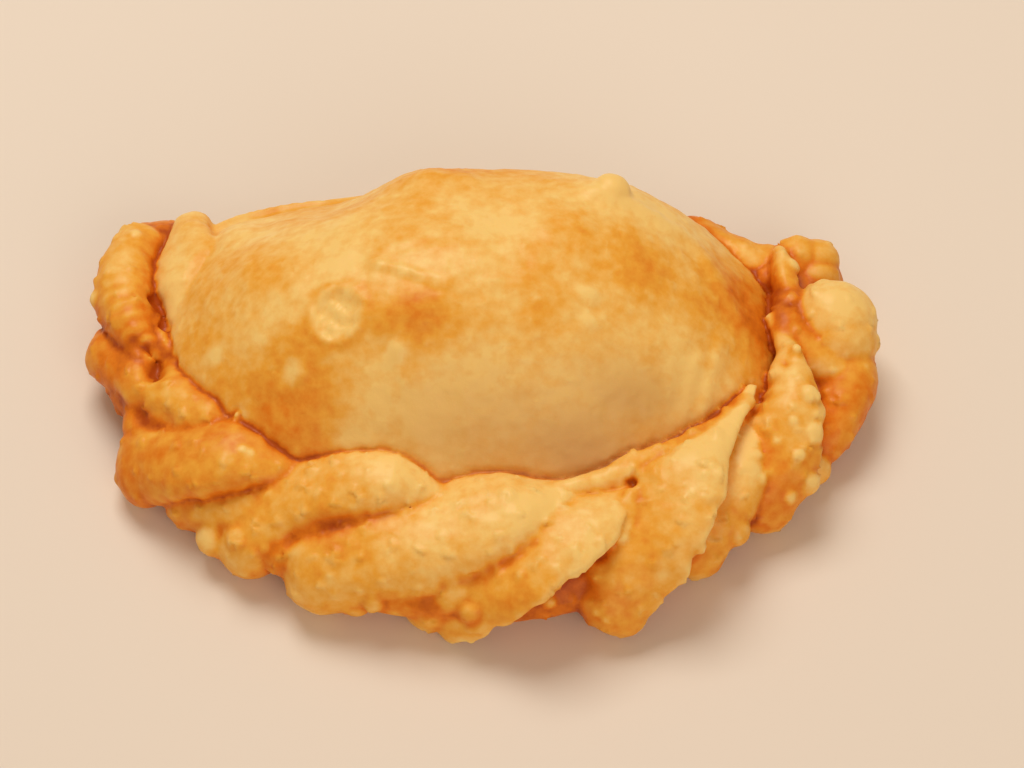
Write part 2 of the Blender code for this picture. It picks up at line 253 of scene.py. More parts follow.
FOLDS = {
    "tail": Fold(
        (172, 55.5, 9), (182, 56.4, 11.5), (198.5, 52.8, 11.5), (4.2, 4.9, 2.9),
        4.8, 0.0, 8, 0.0, 1.0, 0.35, wrinkles=0.07, fade=-0.8,
    ),
    "tail_flap": Fold(
        (184, 51.6, 11), (194, 50.8, 12), (204, 49.0, 11.8), (0.9, 1.2, 0.9),
        2.4, 0.3, 0, 0.0, 1.0, 0.8,
    ),
    "tail_bridge": Fold(
        (167, 48.6, 9.0), (178, 47.2, 12.0), (191, 47.6, 13.0), (4.6, 6.8, 2.5),
        3.4, 0.0, -22, 0.0, 1.0, 0.35, rope=0.0, fade=0.2,
    ),
    "left_corner": Fold(
        (191.5, 59.8, 6.8), (206, 52.6, 11.3), (225.5, 45.8, 13.3), (3.9, 5.6, 1.1),
        4.0, 0.15, 12, 0.3, 1.2, 0.5, fade=0.4,
    ),
    "wing_web": Fold(
        (199, 57.3, 7.2), (207.5, 56.0, 8.9), (216, 55.0, 8.4), (4.0, 5.2, 4.0),
        3.6, 0.0, 0, 0.0, 1.0, 0.5,
    ),
    "left_lobe": Fold(
        (213, 60.2, 5), (219, 55.0, 10.5), (238.5, 44.4, 12.7), (5.4, 6.4, 1.0),
        4.8, 0.3, 8, 0.9, 1.2, 0.45, fade=0.3,
    ),
    "lobe_web": Fold(
        (221, 57.8, 4.8), (229, 54.0, 7.8), (238, 48.5, 10.0), (4.4, 5.0, 3.0),
        4.2, 0.0, 0, 0.0, 1.0, 0.3,
    ),
    "crescent": Fold(
        (234, 56.7, 5), (241.5, 46.9, 11.5), (268, 43.5, 13.4), (4.6, 6.4, 0.7),
        5.4, 0.3, 14, 0.6, 1.7, -0.1,
    ),
    "long_roll": Fold(
        (245.6, 56.0, 5), (265.5, 50.2, 10.5), (294, 45.0, 14.3), (5.7, 6.9, 1.1),
        6.2, 0.15, 8, 1.15, 1.6, -0.25, ragged=0.03,
    ),
    "middle_web": Fold(
        (263.5, 55.6, 4.8), (266.5, 54.6, 7.6), (272, 53.5, 9.5), (4.6, 5.0, 3.4),
        4.4, 0.0, 0, 0.0, 1.0, 0.0,
    ),
    "middle": Fold(
        (267.9, 55.3, 5), (280.5, 54.4, 11.2), (300, 47.6, 15), (5.9, 5.9, 0.9),
        4.8, 0.9, 14, 1.1, 1.6, -0.05, ragged=0.12, fade=0.55,
    ),
    "wide_lip": Fold(
        (291, 59.6, 4.4), (302, 54.6, 12), (331, 48.8, 15), (4.4, 7.7, 0.8),
        5.0, 0.9, 14, 0.6, 0.7, -0.15, ragged=0.12,
    ),
    "rim": Fold(
        (328, 48.3, 14.6), (305, 45.6, 14.8), (284, 43.4, 13.8), (1.2, 2.2, 1.4),
        2.6, 0.5, 10, 0.0, 1.0, 0.1, ragged=0.16,
    ),
    "middle_flake": Fold(
        (288, 48.4, 14.4), (279.5, 50.0, 13.8), (273, 54.4, 12.2), (0.9, 2.2, 0.9),
        2.2, 0.7, 10, 0.0, 1.0, -0.1, ragged=0.18,
    ),
    "wide_flake": Fold(
        (301, 47.8, 14.8), (297.5, 50.2, 14.4), (293.5, 54.2, 13), (0.9, 2.0, 0.9),
        2.2, 0.7, 10, 0.0, 1.0, 0.0, ragged=0.18,
    ),
    "hidden": Fold(
        (306, 57.4, 4.5), (315, 55.0, 9.5), (329, 50.4, 12.5), (4.2, 4.8, 1.2),
        4.0, 0.2, 8, 1.0, 1.0, -0.2,
    ),
    "column": Fold(
        (319.5, 58.4, 4.8), (328, 57.2, 11), (348.6, 47.0, 14.2), (4.4, 4.9, 0.6),
        4.8, 0.5, 12, 0.6, 0.9, 0.1, ragged=0.12,
    ),
    "right_roll": Fold(
        (334.5, 59.8, 4.2), (343.5, 61.0, 7.6), (351, 58.0, 8.6), (3.4, 4.7, 3.4),
        5.0, 0.0, 0, 0.5, 1.0, 0.5,
    ),
    "leaf": Fold(
        (350.8, 50.4, 12), (357.5, 49.0, 13), (365, 48.6, 12), (1.4, 2.0, 1.2),
        2.6, 0.6, 0, 0.0, 1.0, 0.6,
    ),
    "collar": Fold(
        (354, 49.2, 12.4), (346.2, 51.6, 12.2), (344, 58.6, 9.8), (2.6, 4.2, 3.4),
        3.4, 0.4, 0, 0.6, 1.0, 0.3,
    ),
    "neck": Fold(
        (374, 37.5, 9), (367.2, 42.2, 9.0), (365.5, 47.5, 9.0), (5.0, 4.6, 3.8),
        4.4, 0.0, 0, 0.0, 1.0, 0.4,
    ),
    "knob_neck": Fold(
        (361, 46.5, 9.0), (363, 49.5, 9.5), (366, 54, 9.0), (3.4, 3.0, 3.0),
        3.4, 0.0, 0, 0.0, 1.0, 0.5,
    ),
}

BLISTERS = {
    "bubble": Blister(351.8, 57.0, 10.6, 7.2, -0.5),
    "bubble_low": Blister(349.2, 58.0, 9.8, 6.6, -0.3),
    "knob": Blister(366.5, 52.4, 9.2, 4.0, 0.1),
    "knob_end": Blister(366.0, 55.2, 8.8, 3.9, 0.1),
    "dome_blister": Blister(12.4, 21.5, 27.9, 3.2, -0.2, rope=0.0),
    "tail_lump": Blister(171.0, 55.2, 8.5, 3.3, 0.1),
    "tail_lump_back": Blister(166.0, 51.0, 7.0, 3.0, 0.0),
    "lobe": Blister(228.0, 59.6, 4.8, 3.0, 0.1),
    "collar_web": Blister(352.4, 50.4, 9.4, 4.2, 0.2),
    "knob_under": Blister(362.6, 54.6, 7.6, 4.4, 0.2),
    "hem_front": Blister(252.0, 58.0, 4.4, 2.4, 0.2),
    "hem_right": Blister(329.5, 61.0, 4.0, 2.8, 0.2),
}

# Beads blown up in the frying, mostly along the outer edges of the folds, and pale crumbs stuck on.
BEADS = (
    Blister(233.0, 60.3, 5.7, 1.6, 0.5),
    Blister(229.8, 60.2, 4.6, 1.8, 0.5),
    Blister(236.8, 57.8, 8.7, 1.3, 0.4),
    Blister(255, 58.2, 7.5, 2.2, 0.1),
    Blister(269.5, 58.6, 7.8, 2.4, 0.4),
    Blister(280.8, 58.5, 8.3, 1.1, -0.2),
    Blister(288.2, 62.7, 6.7, 0.8, -0.1),
    Blister(287.1, 61.6, 7.3, 0.7, -0.1),
    Blister(311.6, 59.3, 7.3, 2.6, 0.0),
    Blister(303.1, 61.2, 13.8, 1.0, -0.1),
    Blister(333.1, 57.1, 16.4, 1.8, -0.2),
    Blister(328.7, 59.8, 13.7, 2.3, -0.2),
    Blister(324.1, 62.3, 8.8, 2.3, -0.2),
    Blister(320.5, 61.6, 8.7, 1.4, -0.2),
    Blister(320.5, 55.1, 13.3, 1.1, -0.1),
    Blister(0.8, 49.7, 13.8, 1.7, -0.2),
    Blister(184.1, 60.2, 12.2, 1.8, -0.1),
    Blister(340.8, 52.5, 16.7, 0.9, -0.1),
    Blister(172.4, 55.8, 12.9, 1.5, -0.1),
    Blister(306.8, 58.3, 8.8, 1.0, -0.1),
    Blister(320.5, 57.8, 11.9, 1.0, -0.1),
    Blister(324.8, 60.2, 13.2, 1.2, -0.1),
    Blister(328.1, 57.1, 15.8, 0.9, -0.1),
    Blister(324.6, 56.4, 14.1, 1.0, -0.1),
    Blister(229.8, 52.4, 11.1, 1.4, -0.1),
    Blister(248.4, 58.4, 10.5, 0.9, -0.1),
    Blister(276.9, 57.0, 14.1, 1.0, -0.1),
    Blister(232.7, 58.5, 7.8, 2.6, 0.4),
    Blister(344.3, 62.9, 11.4, 1.0, -0.1),
    Blister(225.7, 50.4, 16.8, 0.7, -0.5),
    Blister(227.0, 49.9, 16.6, 0.6, -0.5),
    Blister(218.8, 46.7, 16.5, 0.7, -0.5),
    Blister(248.3, 49.5, 16.3, 0.6, -0.4),
    Blister(305.8, 55.1, 18.2, 0.6, -0.4),
    Blister(309.0, 54.1, 19.0, 0.7, -0.4),
    Blister(311.0, 53.8, 19.1, 0.6, -0.4),
)

# Where the pouch's top bulges or (below nought) sinks.
SWELLINGS = (
    Patch(-9, 29, 8, 7, 2.0),
    Patch(22, 27, 16, 8, 2.0),
    Patch(-33, 31, 18, 13, -7.0),
    Patch(-32, 4, 12, 10, 1.6),
    Patch(-6, 6, 14, 10, 0.8),
    Patch(-24, -2, 6, 5, 0.7),
    Patch(40, 22, 10, 12, -1.5),
    Patch(-35.9, 12.3, 6, 5, 0.9),
    Patch(-11.3, -0.6, 7, 3.5, 0.9),
    Patch(19.0, 13.5, 11, 7, 0.7),
    Patch(4.0, 14.0, 5, 12, -0.6),
    Patch(-7.3, 26.7, 4, 3, 0.9),
    Patch(20.8, 25.4, 3.8, 3.4, 1.0),
    Patch(-21, 32, 7, 8, -3.0),
    Patch(-39.5, 27, 4, 6, 1.8),
    Patch(-1.1, 25.8, 1.8, 1.6, 0.6),
    Patch(-11.7, -6.0, 1.1, 1.1, 0.7),
    Patch(17.6, 3.3, 1.5, 1.3, 0.6),
    Patch(17.5, -0.8, 0.9, 0.9, 0.5),
    Patch(-26.5, -7.4, 1.1, 1.1, 0.6),
    Patch(-28.0, -13.0, 5, 3, 0.6),
)

# A collapsed blister on the pouch: its middle, its radius, its rim's rise, its floor's depth, and
# the height and the waves of the wrinkles in that. The rest is in shares of its radius: how wide
# the rim is, where the brown line round it is and how wide, and where it all ends.
CRATER_CENTRE = Vector((-20.8, -0.1))
CRATER_RADIUS = 3.9
CRATER_RIM = 0.6
CRATER_DEPTH = 0.85
CRATER_WRINKLE = 0.32
CRATER_WAVES = ((3.1, 1.7, 0.0), (-3.4, 2.3, 1.0))
CRATER_RIM_WIDTH = 0.22
CRATER_LINE, CRATER_LINE_WIDTH = 1.22, 0.13
CRATER_REACH = 2.5
CRATER_TONE = 0.6

# The tail's hollow end, the left corner's valley, the hole, the gaps beside the long roll and the
# recesses under the lips.
DENTS = (
    Dent(-50.6, 3.4, 14.9, 1.9, 2.8),
    Dent(-50.2, 0.3, 14.5, 1.7, 2.4),
    Dent(-53.3, 4.8, 14.9, 1.5, 1.0),
    Dent(-56.1, -2.8, 8.6, 2.2, 0.9),
    Dent(-52.0, -6.2, 12.4, 2.4, 1.3),
    Dent(-48.6, -8.1, 13.9, 2.6, 1.3),
    Dent(23.5, -21.6, 16.3, 0.8, 1.2),
    Dent(-27.0, -28.4, 11.6, 1.3, 0.5),
    Dent(-25.3, -28.4, 12.6, 1.4, 0.55),
    Dent(-23.5, -28.3, 13.3, 1.4, 0.55),
    Dent(-21.7, -28.1, 13.9, 1.4, 0.5),
    Dent(-19.9, -27.8, 14.4, 1.3, 0.45),
    Dent(-18.1, -27.5, 14.9, 1.3, 0.35),
    Dent(-16.3, -27.2, 15.3, 1.2, 0.25),
    Dent(-4.6, -36.8, 12.1, 1.2, 0.3),
    Dent(-2.2, -36.4, 12.6, 1.3, 0.45),
    Dent(0.2, -35.9, 13.2, 1.4, 0.5),
    Dent(2.4, -35.2, 14.1, 1.4, 0.5),
    Dent(4.6, -34.3, 14.8, 1.4, 0.5),
    Dent(6.7, -33.2, 15.5, 1.3, 0.4),
    Dent(8.5, -31.9, 16.3, 1.2, 0.3),
    Dent(19.0, -32.3, 13.0, 1.5, 0.9),
    Dent(47.3, 0.5, 17.4, 1.3, 1.3),
    Dent(49.3, 11.8, 15.1, 1.2, 1.0),
    Dent(-51.6, 14.5, 13.6, 1.0, 0.8),
    Dent(-49.4, 9.5, 13.8, 1.0, 1.0),
)

# Creases in the pouch's top. A groove runs beside each, at this many half widths and with this
# share of the crease's height, and the crease fades over this share of its length at both ends.
GROOVE_PLACE, GROOVE_SHARE = 1.8, 0.25
CREASE_FADE = 0.25
CREASES = (
    Crease(Vector((-17.5, 8.0)), Vector((-2.5, 2.0)), 0.6, 0.7),
    Crease(Vector((14.0, 24.5)), Vector((37.0, 19.5)), 1.6, 0.8),
    Crease(Vector((34.0, 21.5)), Vector((43.0, 4.0)), 1.6, 0.7),
    Crease(Vector((38.4, 4.0)), Vector((33.5, -13.0)), 0.9, 0.6),
    Crease(Vector((35.4, 1.0)), Vector((31.0, -12.0)), 0.9, 0.4),
)

# Where the pouch is browner or (below nought) paler: broad patches, then small pale specks.
BROWNINGS = (
    Patch(-38.0, 12.0, 7, 6, 0.15),
    Patch(-10.3, -2.2, 9.0, 5.5, 0.6),
    Patch(-6.0, -9.0, 12, 5, -0.5),
    Patch(20.0, 11.5, 13, 10, 0.55),
    Patch(-27.0, -5.0, 7, 6, 0.3),
    Patch(-7.3, 27.0, 10, 7, 0.55),
    Patch(43.0, 11.0, 9, 12, 0.95),
    Patch(-28.0, -13.0, 12, 7, 0.7),
    # Painted reflection: this paler patch and the speck at (23.6, -9.6) stand for a sheen of light
    # low on the pouch's right.
    Patch(24.0, -8.0, 9, 3, -0.3),
    Patch(-41.0, 1.0, 6, 8, 0.35),
    Patch(5.0, 16.0, 10, 6, -0.3),
    Patch(30.0, 24.0, 14, 4, -0.3),
    Patch(-12.0, -6.3, 1.3, 1.3, -1.4),
    Patch(-40.2, -0.5, 1.6, 1.3, -0.9),
    Patch(-27.7, -6.4, 1.4, 1.6, -1.3),
    Patch(-36.3, -9.6, 1.2, 1.0, -1.4),
    Patch(-18.6, -15.6, 2.6, 1.8, -0.8),
    Patch(-14.1, -11.7, 1.3, 2.0, -0.8),
    Patch(-7.5, -14.7, 2.4, 2.0, -0.5),
    Patch(-9.5, -12.8, 1.2, 1.8, -0.9),
    Patch(16.8, 3.4, 1.4, 1.2, -1.1),
    Patch(16.6, -0.4, 1.0, 0.9, -0.9),
    Patch(14.0, -18.8, 3.0, 1.4, -0.5),
    # Painted reflection, with the paler patch at (24.0, -8.0).
    Patch(23.6, -9.6, 4.0, 1.5, -0.6),
)

# Where the filling shows greyer through the thin crust. The two smaller patches, low on the pouch's
# right, also stand for a pale sheen of light there: a painted reflection.
VEILS_AND_SHEEN = (
    Patch(3.7, -16.1, 20, 7, 0.8),
    Patch(24.1, -9.1, 8, 5, 0.9),
    Patch(17.3, -17.5, 8, 4, 0.9),
)


def smooth_step(share):
    share = min(1.0, max(0.0, share))
    return share * share * (3.0 - 2.0 * share)


def patch_sum(patches, x, y):
    """The strengths of soft round patches, added up at one place of the plan."""
    total = 0.0
    for patch in patches:
        off = ((x - patch.x) / patch.reach_x) ** 2 + ((y - patch.y) / patch.reach_y) ** 2
        total += patch.strength * math.exp(-off)
    return total


def crater_rise(x, y):
    """The collapsed blister: a low rim round a sunken, wrinkled floor."""
    off = Vector((x, y)) - CRATER_CENTRE
    away = off.length / CRATER_RADIUS
    if away > CRATER_REACH:
        return 0.0
    rim = CRATER_RIM * math.exp(-(((away - 1.0) / CRATER_RIM_WIDTH) ** 2))
    floor = math.exp(-(away**4))
    wrinkles = sum(math.sin(a * off.x + b * off.y + turn) for a, b, turn in CRATER_WAVES)
    return rim + floor * (CRATER_WRINKLE * wrinkles - CRATER_DEPTH)


def crater_brown(x, y):
    """The collapsed blister is paler than the crust, with a thin brown line round its rim."""
    away = (Vector((x, y)) - CRATER_CENTRE).length / CRATER_RADIUS
    line = math.exp(-(((away - CRATER_LINE) / CRATER_LINE_WIDTH) ** 2))
    return CRATER_TONE * (line - math.exp(-(away**4)))


def crease_rise(crease, x, y):
    """A crease: a ridge with a shallow groove beside it, fading out at both ends."""
    run = crease.end - crease.start
    off = Vector((x, y)) - crease.start
    along = off.dot(run) / run.length_squared
    across = off.cross(run) / run.length / crease.half_width
    fade = smooth_step(along / CREASE_FADE) * smooth_step((1.0 - along) / CREASE_FADE)
    groove = GROOVE_SHARE * math.exp(-((across - GROOVE_PLACE) ** 2))
    return crease.rise * fade * (math.exp(-(across**2)) - groove)


def rope_point(angle, radius, z):
    """A point from its angle round the rope's centre, its distance from that and its height."""
    turn = math.radians(angle)
    flat = ROPE_CENTRE + radius * Vector((math.cos(turn), math.sin(turn)))
    return Vector((flat.x, flat.y, z))


def fold_chords(fold):
    """A fold's straight lengths from foot to crown and from crown to tip."""
    foot, crown, tip = (rope_point(*station) for station in (fold.foot, fold.crown, fold.tip))
    return (crown - foot).length, (tip - crown).length


def fold_middle(fold, share):
    """The middle line of a fold: the parabola in rope coordinates through foot, crown and tip."""
    rise, run = fold_chords(fold)
    at = rise / (rise + run)
    foot_part = (share - at) * (share - 1.0) / at
    crown_part = share * (share - 1.0) / (at * (at - 1.0))
    tip_part = share * (share - at) / (1.0 - at)
    values = (
        foot_part * a + crown_part * b + tip_part * c
        for a, b, c in zip(fold.foot, fold.crown, fold.tip)
    )
    return rope_point(*values)


def fold_half_width(fold, share):
    """How wide a fold is: from foot to crown to tip, with both ends rounded off beyond them."""
    rise, run = fold_chords(fold)
    at, length = rise / (rise + run), rise + run
    foot, crown, tip = fold.half_widths
    if share < at:
        width = foot + (crown - foot) * smooth_step(share / at)
    else:
        past = max(0.0, (share - at) / (1.0 - at))
        width = crown + (tip - crown) * smooth_step(past**fold.hold)
    beyond = max(0.0, -share * length / foot, (share - 1.0) * length / tip)
    return width * math.sqrt(max(0.0, 1.0 - beyond**2))


def section(turn, lip, tuck):
    """A fold's cross-section: round, or flat up to a raised, undercut lip on its far side."""
    across, height = math.cos(turn), math.sin(turn)
    if across <= 0:
        if height > 0:
            height = (1.0 - abs(across) ** (2.0 + 2.0 * lip)) ** 0.5
        return across * (1.0 + tuck), height - TUCK_SINK * tuck * across**2
    if height >= 0:
        flat = 1.0 - (1.0 - LIP_RISE) * across**3
        return across, height + (flat - height) * lip
    under = (1.0 - lip * across) * height + (LIP_RISE - LIP_THICKNESS) * across
    return across, height + (under - height) * lip


def raggedness(fold, share, turn):
    """How the edge of a fold wanders: waves of different lengths that don't repeat along it."""
    waves = sum(
        strength * math.sin(speed * share + shift * fold.foot[0] + twist * turn)
        for speed, shift, twist, strength in RAGGED_WAVES
    )
    return fold.ragged * waves * RAGGED_SHARE


def fold_ring(fold, share):
    """The outline of a fold across its middle line, as pairs of a place and a crown share."""
    forward = fold_middle(fold, share + TANGENT_STEP) - fold_middle(fold, share - TANGENT_STEP)
    forward.normalize()
    middle = fold_middle(fold, share)
    outward = Vector((middle.x - ROPE_CENTRE.x, middle.y - ROPE_CENTRE.y, 0.0)).normalized()
    rise, run = fold_chords(fold)
    climb = smooth_step(share * (rise + run) / rise)
    facing = math.radians(FOOT_FACING + (CROWN_FACING - FOOT_FACING) * climb)
    up = outward * math.cos(facing) + Vector((0, 0, math.sin(facing)))
    side = forward.cross(up).normalized()
    up = side.cross(forward).normalized()
    lean = math.radians(fold.lean) * climb
    c, s = math.cos(lean), math.sin(lean)
    side, up = side * c + up * s, up * c - side * s
    half_width = fold_half_width(fold, share)
    half_height = fold.half_height * min(1.0, half_width / fold.half_widths[0])
    ripple = 0.5 + 0.5 * math.cos(WRINKLE_WAVE * share)
    wrinkle = 1.0 - fold.wrinkles * ripple * smooth_step(3.0 * share - 1.0)
    points = []
    for k in range(FOLD_SIDES):
        turn = math.tau * k / FOLD_SIDES
        across, height = section(turn, fold.lip, fold.tuck)
        reach = half_width * (1.0 + raggedness(fold, share, turn) * (0.5 + abs(across)))
        place = middle + side * across * reach + up * height * wrinkle * half_height
        points.append((place, min(1.0, max(0.0, height))))
    return points


def link_piece(name, mesh, rope, crowns, browns, veils=None):
    """An object from a mesh in millimetres, with the marks that its crust's colour follows."""
    marks = {
        "rope": [rope] * len(browns),
        "crown": crowns,
        "brown": browns,
        "veil": veils or [0.0] * len(browns),
    }
    bmesh.ops.recalc_face_normals(mesh, faces=mesh.faces)
    data = bpy.data.meshes.new(name)
    mesh.to_mesh(data)
    mesh.free()
    data.transform(Matrix.Translation(PLAN_SHIFT) @ Matrix.Scale(MM, 4))
    for mark, numbers in marks.items():
        data.attributes.new(mark, "FLOAT", "POINT").data.foreach_set("value", numbers)
    obj = bpy.data.objects.new(name, data)
    bpy.context.scene.collection.objects.link(obj)
    return obj


def closed_tube(name, rings, ring_browns, rope=1.0):
    """A tube through rings of (point, crown share), with each end closed by a fan."""
    mesh = bmesh.new()
    crowns = []
    browns = []
    loops = []
    for ring, brown in zip(rings, ring_browns):
        loops.append([mesh.verts.new(point) for point, crown in ring])
        crowns += [crown for point, crown in ring]
        browns += [brown] * len(ring)
    count = len(rings[0])
    for near, far in zip(loops, loops[1:]):
        for k in range(count):
            mesh.faces.new((near[k], near[(k + 1) % count], far[(k + 1) % count], far[k]))
    for loop, brown in ((loops[0], ring_browns[0]), (loops[-1], ring_browns[-1])):
        centre = mesh.verts.new(sum((v.co for v in loop), Vector()) / count)
        crowns.append(0.5)
        browns.append(brown)
        for k in range(count):
            mesh.faces.new((loop[k], loop[(k + 1) % count], centre))
    return link_piece(name, mesh, rope, crowns, browns)


def make_fold(name, fold):
    """One fold as a tube whose rings stand closer at its two round ends."""
    length = sum(fold_chords(fold))
    first = -END_REACH * fold.half_widths[0] / length
    last = 1.0 + END_REACH * fold.half_widths[2] / length
    rings = []
    browns = []
    for i in range(FOLD_STATIONS + 1):
        along = (1.0 - math.cos(math.pi * i / FOLD_STATIONS)) / 2
        rings.append(fold_ring(fold, first + (last - first) * along))
        fried = FOOT_BROWN + (TIP_BROWN - FOOT_BROWN) * smooth_step(along)
        browns.append(fold.brown + fold.fade * fried)
    return closed_tube(name, rings, browns, fold.rope)


def make_core():
    """The rolled seam under the folds."""
    rings = []
    for i in range(CORE_STATIONS + 1):
        share = i / CORE_STATIONS
        angle = CORE_START + (CORE_END - CORE_START) * share
        near_end = max(0.0, 1.0 - min(share, 1.0 - share) / CORE_END_SHARE)
        full = math.sqrt(max(CORE_END_THINNESS, 1.0 - near_end**2))
        ring = []
        for k in range(CORE_SIDES):
            turn = math.tau * k / CORE_SIDES
            radius = CORE_RADIUS + CORE_HALF_WIDTH * full * math.cos(turn)
            z = CORE_Z + CORE_HALF_HEIGHT * full * math.sin(turn)
            ring.append((rope_point(angle, radius, z), 0.0))
        rings.append(ring)
    return closed_tube("core", rings, [CORE_BROWN] * len(rings))


def make_blister(name, blister):
    """One bubble as a ball."""
    mesh = bmesh.new()
    bmesh.ops.create_icosphere(mesh, subdivisions=4, radius=blister.radius)
    middle = rope_point(blister.angle, blister.distance, blister.height)
    bmesh.ops.translate(mesh, verts=mesh.verts, vec=middle)
    crowns = [max(0.0, (v.co.z - middle.z) / blister.radius) for v in mesh.verts]
    return link_piece(name, mesh, blister.rope, crowns, [blister.brown] * len(crowns))


def pouch_reach(turn):
    """How far the pouch reaches from its centre towards an angle, seen from above."""
    c, s = math.cos(turn), math.sin(turn)
    depth = POUCH_BACK if s > 0 else POUCH_FRONT
    back_power = BACK_LEFT_SQUARENESS if c < 0 else BACK_RIGHT_SQUARENESS
    power = FRONT_SQUARENESS + (back_power - FRONT_SQUARENESS) * smooth_step(2 * s)
    return (abs(c / POUCH_HALF_LENGTH) ** power + abs(s / depth) ** power) ** (-1 / power)


def pouch_top(turn, share):
    """The height of the pouch's top at a share of its reach towards an angle."""
    front = smooth_step((1.0 - math.sin(turn)) / 2)
    rounding = BACK_ROUNDING + (FRONT_ROUNDING - BACK_ROUNDING) * front
    return POUCH_WAIST + (POUCH_HEIGHT - POUCH_WAIST) * max(0.0, 1.0 - share**2) ** rounding


def make_pouch():
    """The filled pouch: a domed top and a shallow underside that meet at its waist."""
    mesh = bmesh.new()
    loops = []
    for i in range(1, POUCH_RINGS):
        along = math.pi * i / POUCH_RINGS
        share = math.sin(along)
        loop = []
        for k in range(POUCH_SIDES):
            turn = math.tau * k / POUCH_SIDES
            reach = pouch_reach(turn) * share
            x = POUCH_CENTRE.x + reach * math.cos(turn)
            y = POUCH_CENTRE.y + reach * math.sin(turn)
            if along <= math.pi / 2:
                z = pouch_top(turn, share)
                detail = patch_sum(SWELLINGS, x, y) + crater_rise(x, y)
                detail += sum(crease_rise(crease, x, y) for crease in CREASES)
                z += detail * smooth_step((z - POUCH_WAIST) / POUCH_WAIST)
            else:
                z = POUCH_WAIST - (POUCH_WAIST - POUCH_UNDER) * math.sqrt(1.0 - share**2)
            loop.append(mesh.verts.new((x, y, z)))
        loops.append(loop)
    for near, far in zip(loops, loops[1:]):
        for k in range(POUCH_SIDES):
            after = (k + 1) % POUCH_SIDES
            mesh.faces.new((near[k], far[k], far[after], near[after]))
    top = POUCH_HEIGHT + patch_sum(SWELLINGS, *POUCH_CENTRE)
    for loop, z in ((loops[0], top), (loops[-1], POUCH_UNDER)):
        pole = mesh.verts.new((*POUCH_CENTRE, z))
        for k in range(POUCH_SIDES):
            mesh.faces.new((loop[k], loop[(k + 1) % POUCH_SIDES], pole))
    spots = [(v.co.x, v.co.y) for v in mesh.verts]
    browns = [patch_sum(BROWNINGS, *spot) + crater_brown(*spot) for spot in spots]
    # The veils carry the filling's shade and, in two small patches, a painted sheen.
    veils = [patch_sum(VEILS_AND_SHEEN, *spot) for spot in spots]
    return link_piece("pouch", mesh, 0.0, [0.0] * len(browns), browns, veils)


def linear(hex_colour):
    """An sRGB colour, such as #eda53c, as linear red, green, blue and a full alpha."""
    channels = [int(hex_colour[i:i + 2], 16) / 255 for i in (1, 3, 5)]
    values = [c / 12.92 if c <= 0.04045 else ((c + 0.055) / 1.055) ** 2.4 for c in channels]
    return (*values, 1.0)


def add(tree, kind, inputs=None, **settings):
    """Add a node with its settings. Each input is a socket or node to link or a value to set."""
    node = tree.nodes.new(kind)
    for name, value in settings.items():
        setattr(node, name, value)
    for key, value in (inputs or {}).items():
        if isinstance(value, bpy.types.Node):
            value = value.outputs[0]
        if isinstance(value, bpy.types.NodeSocket):
            tree.links.new(value, node.inputs[key])
        else:
            node.inputs[key].default_value = value
    return node


class PastrySizes(bpy.types.PropertyGroup):
    """Sizes of the crust's fine relief."""

    voxel: bpy.props.FloatProperty(
        name="Skin detail", description="Grid the one skin over all pieces is drawn on",
        default=0.465 * MM, min=0.3 * MM, unit="LENGTH",
    )
    bubble_spacing: bpy.props.FloatProperty(
        name="Bubble spacing", description="Least distance between small bubbles on the rope",
        default=3.0 * MM, min=0.5 * MM, unit="LENGTH",
    )
    bubble_radius: bpy.props.FloatProperty(
        name="Bubble radius", description="Radius of the largest small bubbles",
        default=1.9 * MM, min=0.1 * MM, unit="LENGTH",
    )
    bubble_height: bpy.props.FloatProperty(
        name="Bubble height", description="How far the largest small bubbles stand out",
        default=0.5 * MM, min=0.0, unit="LENGTH",
    )
    wave_height: bpy.props.FloatProperty(
        name="Unevenness", description="How far the dough's surface wanders in and out",
        default=0.45 * MM, min=0.0, unit="LENGTH",
    )
    seam_depth: bpy.props.FloatProperty(
        name="Seam depth", description="Depth of the crevice where the rope meets the pouch",
        default=0.38 * MM, min=0.0, unit="LENGTH",
    )
    seed: bpy.props.IntProperty(
        name="Seed", description="Seed for where the small bubbles lie", default=4,
    )


class CrustLook(bpy.types.PropertyGroup):
    """Colours and gloss of the fried crust."""

    pale: bpy.props.FloatVectorProperty(
        name="Pale dough", description="Colour of the fold crowns", subtype="COLOR", size=4,
        default=linear("#f7d07c"),
    )
    gold: bpy.props.FloatVectorProperty(
        name="Golden crust", description="Colour of most of the crust", subtype="COLOR", size=4,
        default=linear("#eeaa3c"),
    )
    amber: bpy.props.FloatVectorProperty(
        name="Amber crust", description="Colour of the well fried parts", subtype="COLOR", size=4,
        default=linear("#e17d16"),
    )
    # The darkest stop is also where the painted shade in the grooves and along the seam ends up.
    brown: bpy.props.FloatVectorProperty(
        name="Brown crust", description="Colour down in the grooves", subtype="COLOR", size=4,
        default=linear("#b04c08"),
    )
    # This colour also makes the painted sheen in two of the veils.
    veil: bpy.props.FloatVectorProperty(
        name="Filling shade", description="Colour where the filling shows through", subtype="COLOR",
        size=4, default=linear("#d4a35e"),
    )
    roughness: bpy.props.FloatProperty(
        name="Roughness", description="Roughness of the oily crust", default=0.47, min=0.0, max=1.0,
    )


